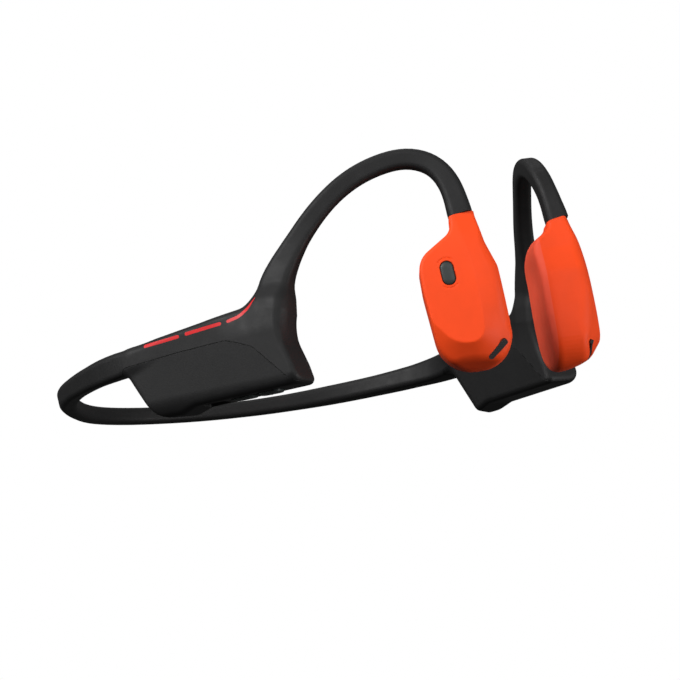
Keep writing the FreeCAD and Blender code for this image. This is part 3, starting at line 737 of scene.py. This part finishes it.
def above_shell(points):
    """Positive in the silicone skin, negative in the hard lower shell of the pod."""
    s, t, z = in_pod(points).T
    lower = outline_distance(s, z, SHELL_OUTLINE)
    return np.where(np.abs(t) < 8, lower, 5.0 + np.abs(t))


def light_strip_measure(outline):
    """Negative in one light bar, on the pod's outer side only."""
    def measure(points):
        s, t, z = in_pod(points).T
        return np.where(t > 1.0, outline_distance(s, z, outline), 5.0)
    return measure


def opening_measure(centre, length, width, corner):
    """Negative in a rounded opening on the pod's underside."""
    def measure(points):
        s, t, z = in_pod(points).T
        away = rounded_box_distance(s - centre, t, length, width, corner)
        return np.where(z < 3.0, away, 5.0 + away)
    return measure


def underside_openings():
    """The two volume keys' openings, with play all round, and the charging port's."""
    length, width = (size + 2 * KEY_PLAY for size in VOLUME_KEY_SIZE)
    keys = [opening_measure(centre, length, width, VOLUME_KEY_CORNER + KEY_PLAY)
            for centre in VOLUME_KEYS.values()]
    start, end, half = CONTACT_PORT
    return keys + [opening_measure((start + end) / 2, end - start, 2 * half, PORT_CORNER)]


# ---------------------------------------------------------------- transducer, in its own axes
def profile_curve(rows):
    """Smooth function through (height below the neck, value) rows."""
    path, _ = smooth_path([(d, value, 0) for d, value in rows], 0.5)
    return lambda drop: np.interp(drop, path[:, 0], path[:, 1])


SIDE_OUTLINE = rounded_outline([
    (-2.75, 8.0, 0), (-2.9, -3.6, 3.2), (-10.8, -8.9, 5.3), (-10.6, -16.0, 30), (-8.6, -33.3, 7.8),
    (7.3, -33.3, 7.2), (6.95, -23.5, 20), (6.05, -12.0, 6), (4.0, -6.4, 6), (2.75, -0.5, 6),
    (2.6, 8.0, 0)], 12)
FACE_CREASE = rounded_outline([
    (-16, 10, 0), (-2.2, 10, 0), (-1.5, -1, 8), (0.6, -12, 40), (1.3, -22, 30), (1.0, -28.0, 3.0),
    (-5.2, -27.9, 6), (-9.6, -22.6, 8), (-12.5, -12, 0), (-16, -4, 0)], 12)
OUTER_LEVEL = profile_curve([(-8, 2.95), (0, 3.05), (4.1, 4.2), (8.3, 4.9), (12.9, 5.3), (17.0, 5.5),
                             (21.9, 5.65), (34, 5.85)])
INNER_LEVEL = profile_curve([(-8, 2.75), (-1, 2.75), (1.9, 2.9), (3.6, 5.1), (5.0, 6.4), (10.0, 6.75),
                             (20.0, 6.6), (28.0, 6.35), (34.0, 6.0)])
FRONT_BEVEL, BOTTOM_BEVEL = 0.36, 0.78      # fall per millimetre beyond the crease
CREASE_ROUND = 0.12
BOTTOM_DROP = 33.3
KEY_RING_OFFSET, KEY_RING_RADIUS = 0.75, 0.13
VENT_CENTRE = np.array([3.7, 3.0, -30.3])
VENT_FACING = unit(np.array([0.3, 0.82, -0.49]))
VENT_RUN = np.array([-0.74, 0.0, -0.67])
VENT_LENGTH, VENT_WIDTH = 5.4, 1.45


def outer_surface(f, t, z):
    """Distance above the outer face, its front bevel and its lower bevel."""
    beyond = outline_distance(f, z, FACE_CREASE)
    beyond = (beyond + np.hypot(beyond, CREASE_ROUND)) / 2
    slope = FRONT_BEVEL + (BOTTOM_BEVEL - FRONT_BEVEL) * ease(-z, 15.0, 29.0)
    return (t - OUTER_LEVEL(-z) + slope * beyond) / np.hypot(1, slope)


def key_axes(f, z):
    """Coordinates across and along the function key."""
    a = math.radians(FUNCTION_KEY_TILT)
    df, dz = f - FUNCTION_KEY[0], z - FUNCTION_KEY[1]
    return df * math.cos(a) + dz * math.sin(a), dz * math.cos(a) - df * math.sin(a)


def transducer_distance(with_key):
    """One transducer, with a fine groove at both ends of the function key where it has one."""
    def distance(points):
        f, t, z = in_transducer(points).T
        side = outline_distance(f, z, SIDE_OUTLINE)
        under = 0.306 * (t + 2.6) - 0.952 * (z + BOTTOM_DROP)
        walls = larger(side, under, 0.6)
        # The inner edge is rounder below the neck. The factor evens out the slope of its level.
        inner = (-t - INNER_LEVEL(-z)) * 0.9
        walls = larger(walls, inner, 1.2 + 0.9 * ease(-z, 4, 12))
        # The outer edge is rounder at the front, between the neck and the lower bevel.
        outer = outer_surface(f, t, z)
        round_off = 0.9 + 1.3 * ease(f, 1, 4) * ease(-z, 2, 9) * (1 - ease(-z, 24, 28))
        body = larger(walls, outer, round_off)
        if with_key:
            x, y = key_axes(f, z)
            width, length = (size + 2 * KEY_RING_OFFSET for size in FUNCTION_KEY_SIZE)
            ring = np.abs(stadium_distance(x, y, length, width))
            ring = np.where(np.abs(y) > width * 0.62, ring, 1.0)
            body = np.maximum(body, -(np.hypot(ring, outer) - KEY_RING_RADIUS))
        return body
    return distance


def cover_measure(points):
    """Positive in the shell, negative in the cover against the cheekbone."""
    return in_transducer(points)[:, 1] - COVER_LEVEL


def above_neck(points):
    """Height above the sloping joint at the neck."""
    f, t, z = in_transducer(points).T
    return z - 0.2 * f - 0.2 * t + 0.25


def neck_measure(points):
    """Positive above the joint between the black hook and the orange transducer."""
    f, t, z = in_transducer(points).T
    near = (np.hypot(f, t) < 6) & (z > -6)
    return np.where(near, above_neck(points), 9.0)


def vent_measure(points):
    offset = in_transducer(points) - VENT_CENTRE
    cross_way = unit(np.cross(VENT_FACING, VENT_RUN))
    long_way = np.cross(cross_way, VENT_FACING)
    away = stadium_distance(offset @ cross_way, offset @ long_way, VENT_LENGTH, VENT_WIDTH)
    return np.where(offset @ VENT_FACING > -2.0, away, 5.0)


def function_key_measure(points):
    f, t, z = in_transducer(points).T
    x, y = key_axes(f, z)
    width, length = (size + 2 * KEY_PLAY for size in FUNCTION_KEY_SIZE)
    away = stadium_distance(x, y, length, width)
    return np.where(t > 0, away, 5.0)


# ---------------------------------------------------------------- keys
def pill_outline(length, width, corner, inset, steps=6):
    """Rounded rectangle, `inset` smaller all round, as points in the plane."""
    half_length, half_width = length / 2 - inset, width / 2 - inset
    corner = max(corner - inset, 0.02)
    points = []
    for quarter, (sx, sy) in enumerate(((1, 1), (-1, 1), (-1, -1), (1, -1))):
        for k in range(steps + 1):
            a = math.pi / 2 * (quarter + k / steps)
            points.append((sx * (half_length - corner) + corner * math.cos(a),
                           sy * (half_width - corner) + corner * math.sin(a)))
    return np.array(points)


def cap_mesh(length, width, corner, profile):
    """Key cap whose section runs through (inset, height) rows from its foot to its crown."""
    rings = []
    for inset, height in profile:
        outline = pill_outline(length, width, corner, inset)
        rings.append(np.column_stack([outline, np.full(len(outline), height)]))
    count = len(rings[0])
    faces = []
    for i in range(len(rings) - 1):
        for k in range(count):
            n = (k + 1) % count
            faces.append((i * count + k, i * count + n, (i + 1) * count + n, (i + 1) * count + k))
    faces.append(tuple(range((len(rings) - 1) * count, len(rings) * count)))
    faces.append(tuple(range(count))[::-1])
    return np.concatenate(rings), faces


# Cap sections as (inset, height) rows, and how far each lies under the face or above the table.
FUNCTION_CAP = [(0, -0.9), (0, -0.12), (0.05, -0.02), (0.16, 0.06), (0.4, 0.13), (0.75, 0.18), (1.1, 0.2)]
FUNCTION_CAP_SINK = 0.1
VOLUME_CAP = [(0, -2.0), (0, -0.2), (0.06, -0.09), (0.2, 0.0), (0.5, 0.05), (1.0, 0.09), (1.5, 0.11)]
VOLUME_CAP_LEVEL = 1.05
MARK_CAP = [(0, -0.1), (0, 0.05), (0.05, 0.09)]
MARK_LENGTH, MARK_WIDTH, MARK_CORNER, MARK_LEVEL = 1.5, 0.32, 0.15, 0.94


def function_key_cap():
    """The cap lies on the outer face, tilted a little forward at its foot."""
    width, length = FUNCTION_KEY_SIZE
    vertices, faces = cap_mesh(length, width, width / 2, FUNCTION_CAP)
    a = math.radians(FUNCTION_KEY_TILT)
    along, across, height = vertices.T
    f = FUNCTION_KEY[0] + across * math.cos(a) - along * math.sin(a)
    z = FUNCTION_KEY[1] + along * math.cos(a) + across * math.sin(a)
    t = OUTER_LEVEL(-z) + height - FUNCTION_CAP_SINK
    return to_world(np.stack([f, t, z], axis=1), NECK_JOINT, TRANSDUCER_YAW), faces


def volume_key_cap(centre):
    vertices, faces = cap_mesh(*VOLUME_KEY_SIZE, VOLUME_KEY_CORNER, VOLUME_CAP)
    s, t, height = vertices.T
    local = np.stack([centre + s, t, VOLUME_CAP_LEVEL - height], axis=1)
    return to_world(local, POD_ORIGIN, POD_YAW), [face[::-1] for face in faces]


def volume_mark(centre, upright):
    """Raised plus or minus on a volume key."""
    bars = [(MARK_LENGTH, MARK_WIDTH)] + ([(MARK_WIDTH, MARK_LENGTH)] if upright else [])
    vertices, faces = joined([cap_mesh(length, width, MARK_CORNER, MARK_CAP) for length, width in bars])
    s, t, height = vertices.T
    local = np.stack([centre + s, t, MARK_LEVEL - height], axis=1)
    return to_world(local, POD_ORIGIN, POD_YAW), [face[::-1] for face in faces]


# ---------------------------------------------------------------- assembly
# Boxes in which the surfaces are sought, and the cell sizes.
BODY_BOX = (-6, -64, -1), (63, 66, 51)
TRANSDUCER_BOX = (0, -72, -1), (30, -43, 37)
BODY_STEP, TRANSDUCER_STEP = 0.3, 0.2


def cut_and_lip(mesh, distance, measure, lip=LIP):
    outside, inside = split(mesh, measure)
    return lipped(outside, distance, measure, 1, lip), lipped(inside, distance, measure, -1, lip)


def rear_pieces():
    """Skin, shell and light bars of the left rear body, cut from one surface."""
    whole = even_quads(REAR_BODY, *BODY_BOX, BODY_STEP)
    left, _ = split(whole, lambda points: points[:, 0])
    left = lipped(left, REAR_BODY, lambda points: points[:, 0], 1, FLUSH)
    upper, _ = split(left, neck_measure)
    upper = lipped(upper, REAR_BODY, neck_measure, 1)
    skin, shell = cut_and_lip(upper, REAR_BODY, above_shell)
    bars = []
    for outline in LIGHT_STRIPS:
        measure = light_strip_measure(outline)
        skin, bar = cut_and_lip(skin, REAR_BODY, measure, FLUSH)
        bars.append(bar)
    return skin, shell, joined(bars)


def transducer_pieces(with_key):
    distance = transducer_distance(with_key)
    whole = even_quads(distance, *TRANSDUCER_BOX, TRANSDUCER_STEP)

    def below_neck(points):
        return -above_neck(points)

    body, _ = split(whole, below_neck)
    body = lipped(body, distance, below_neck, 1)
    shell, cover = split(body, cover_measure)
    openings = [vent_measure] + ([function_key_measure] if with_key else [])
    for measure in openings:
        shell = cut_and_lip(shell, distance, measure)[0]
    return shell, cover


def place(side, name, mesh, slot, body, nodes):
    """Makes one piece on its side, riding on its body or, for a blend body, with its place baked into its
    vertices, and hides its CAD nodes.
    """
    if side == "right":
        mesh = mirror_mesh(mesh)
    piece = make_object(name, mesh, MATERIALS[slot])
    if body == "blend":
        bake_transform(piece)
    else:
        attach(piece, body)
    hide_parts(*nodes)


def build():
    skin, shell, bars = rear_pieces()
    bodies = {"left": transducer_pieces(False), "right": transducer_pieces(True)}
    for side in ("left", "right"):
        arm = side + "_arm"
        sleeves = [side + end for end in ("_band_sleeve", "_housing_skin", "_hook_sleeve")]
        place(side, side + "_skin", skin, "black_silicone", "blend", ["band_sleeve_center"] + sleeves)
        lower = shell
        if side == "right":
            for measure in underside_openings():
                lower = cut_and_lip(lower, REAR_BODY, measure)[0]
        halves = [side + "_pod_outer", side + "_pod_inner"]
        place(side, side + "_pod_shell", lower, "black_plastic", arm, halves)
        place(side, side + "_light_bars", bars, "red_light", arm, [side + "_light_pipes"])
        body, cover = bodies[side]
        place(side, side + "_transducer_body", body, "orange_shell", arm, [side + "_transducer_shell"])
        place(side, side + "_cheek_pad", cover, "orange_silicone", arm, [side + "_contact_cover"])
    cap = function_key_cap()
    place("right", "function_key_cap", cap, "key_plastic", "function_key", ["function_button"])
    for name, centre in VOLUME_KEYS.items():
        place("right", name + "_cap", volume_key_cap(centre), "key_plastic", name, [name + "_button"])
        mark = volume_mark(centre, name == "volume_up")
        place("right", name + "_mark", mark, "key_plastic", name, [])


finish_cad_nodes()
build()


# ---------------------------------------------------------------- floor, light and camera
FLOOR_HALF = 0.6


def make_floor():
    """Pale floor, clear from below, because the photo's camera stands a little under the resting plane.

    It takes shadows, but casts none and gives no light to the headphones.
    """
    corners = [(x * FLOOR_HALF, y * FLOOR_HALF, 0) for x, y in ((-1, -1), (1, -1), (1, 1), (-1, 1))]
    data = bpy.data.meshes.new("floor")
    data.from_pydata(corners, [], [(0, 1, 2, 3)])
    material, tree, shader = new_material("floor")
    shade = ramp(tree, noise(tree, 8.0), [(0.3, (0.80, 0.80, 0.80)), (0.7, (0.84, 0.84, 0.84))])
    tree.links.new(shade, shader.inputs["Base Color"])
    shader.inputs["Roughness"].default_value = 0.9
    clear = tree.nodes.new("ShaderNodeBsdfTransparent")
    mix = tree.nodes.new("ShaderNodeMixShader")
    facing = tree.nodes.new("ShaderNodeNewGeometry")
    tree.links.new(facing.outputs["Backfacing"], mix.inputs["Fac"])
    tree.links.new(shader.outputs["BSDF"], mix.inputs[1])
    tree.links.new(clear.outputs["BSDF"], mix.inputs[2])
    tree.links.new(mix.outputs["Shader"], tree.nodes["Material Output"].inputs["Surface"])
    data.materials.append(material)
    floor = bpy.data.objects.new("floor", data)
    floor.visible_diffuse = False
    floor.visible_glossy = False
    floor.visible_transmission = False
    floor.visible_shadow = False
    bpy.context.scene.collection.objects.link(floor)
    floor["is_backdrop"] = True


SKY_LIGHT, GROUND_LIGHT = 0.10, 0.04


def make_world():
    """White backdrop for the camera; for everything else a dim light that fades towards the ground."""
    world = bpy.data.worlds.new("studio")
    bpy.context.scene.world = world
    world.use_nodes = True
    tree = world.node_tree
    plain = tree.nodes["Background"]
    heading = tree.nodes.new("ShaderNodeTexCoord")
    parts = tree.nodes.new("ShaderNodeSeparateXYZ")
    fade = tree.nodes.new("ShaderNodeMapRange")
    fade.inputs["From Min"].default_value, fade.inputs["From Max"].default_value = -0.5, 0.7
    fade.inputs["To Min"].default_value, fade.inputs["To Max"].default_value = GROUND_LIGHT, SKY_LIGHT
    tree.links.new(heading.outputs["Generated"], parts.inputs["Vector"])
    tree.links.new(parts.outputs["Z"], fade.inputs["Value"])
    plain.inputs["Color"].default_value = (1, 1, 1, 1)
    tree.links.new(fade.outputs["Result"], plain.inputs["Strength"])
    white = tree.nodes.new("ShaderNodeBackground")
    white.inputs["Color"].default_value = (1, 1, 1, 1)
    path = tree.nodes.new("ShaderNodeLightPath")
    mix = tree.nodes.new("ShaderNodeMixShader")
    tree.links.new(path.outputs["Is Camera Ray"], mix.inputs["Fac"])
    tree.links.new(plain.outputs["Background"], mix.inputs[1])
    tree.links.new(white.outputs["Background"], mix.inputs[2])
    tree.links.new(mix.outputs["Shader"], tree.nodes["World Output"].inputs["Surface"])


TARGET = np.array([0.0, 0.0, 0.022])
NEARLY_UP = UP + np.array([0.01, 0.02, 0.0])    # so that a light straight above has a side too
# Square area lights aimed at the target: name, place and size in metres, watts.
LIGHTS = [("key", (-0.91, 0.0, 0.63), 0.45, 10.3), ("fill", (-0.77, -0.6, 0.52), 0.5, 1.0),
          ("front", (-0.36, -0.99, 0.33), 0.6, 3.4), ("right", (0.5, -0.95, -0.2), 0.6, 6.0),
          ("rear", (-0.8, 0.6, 0.3), 0.6, 2.8), ("top", (0.15, 0.1, 1.0), 0.7, 2.0)]


def make_lights():
    for name, spot, size, power in LIGHTS:
        data = bpy.data.lights.new(name, "AREA")
        data.size = size
        data.energy = power
        lamp = bpy.data.objects.new(name, data)
        back = unit(np.array(spot) - TARGET)
        side = unit(np.cross(NEARLY_UP, back))
        turn = Matrix(np.column_stack([side, np.cross(back, side), back]).tolist()).to_4x4()
        turn.translation = spot
        lamp.matrix_world = turn
        bpy.context.scene.collection.objects.link(lamp)


# Place in metres and axes of the view that match the photo's perspective, and the lens in millimetres.
CAMERA_SPOT = (-0.60254, -0.50743, -0.08621)
CAMERA_RIGHT, CAMERA_UP = (0.64870, -0.74734, -0.14376), (-0.00572, -0.19368, 0.98105)
CAMERA_LENS = 185.2


def make_camera():
    data = bpy.data.cameras.new("camera")
    data.lens = CAMERA_LENS
    data.sensor_width = 36.0
    data.clip_start, data.clip_end = 0.01, 20.0
    camera = bpy.data.objects.new("camera", data)
    back = np.cross(CAMERA_RIGHT, CAMERA_UP)
    turn = Matrix(np.column_stack([CAMERA_RIGHT, CAMERA_UP, back]).tolist()).to_4x4()
    turn.translation = CAMERA_SPOT
    camera.matrix_world = turn
    bpy.context.scene.collection.objects.link(camera)
    bpy.context.scene.camera = camera


make_floor()
make_world()
make_lights()
make_camera()
bpy.context.scene.view_settings.view_transform = "Standard"

plain_lists = [[[float(c) for c in corner] for corner in box] for box in (CAD_BOX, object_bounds())]
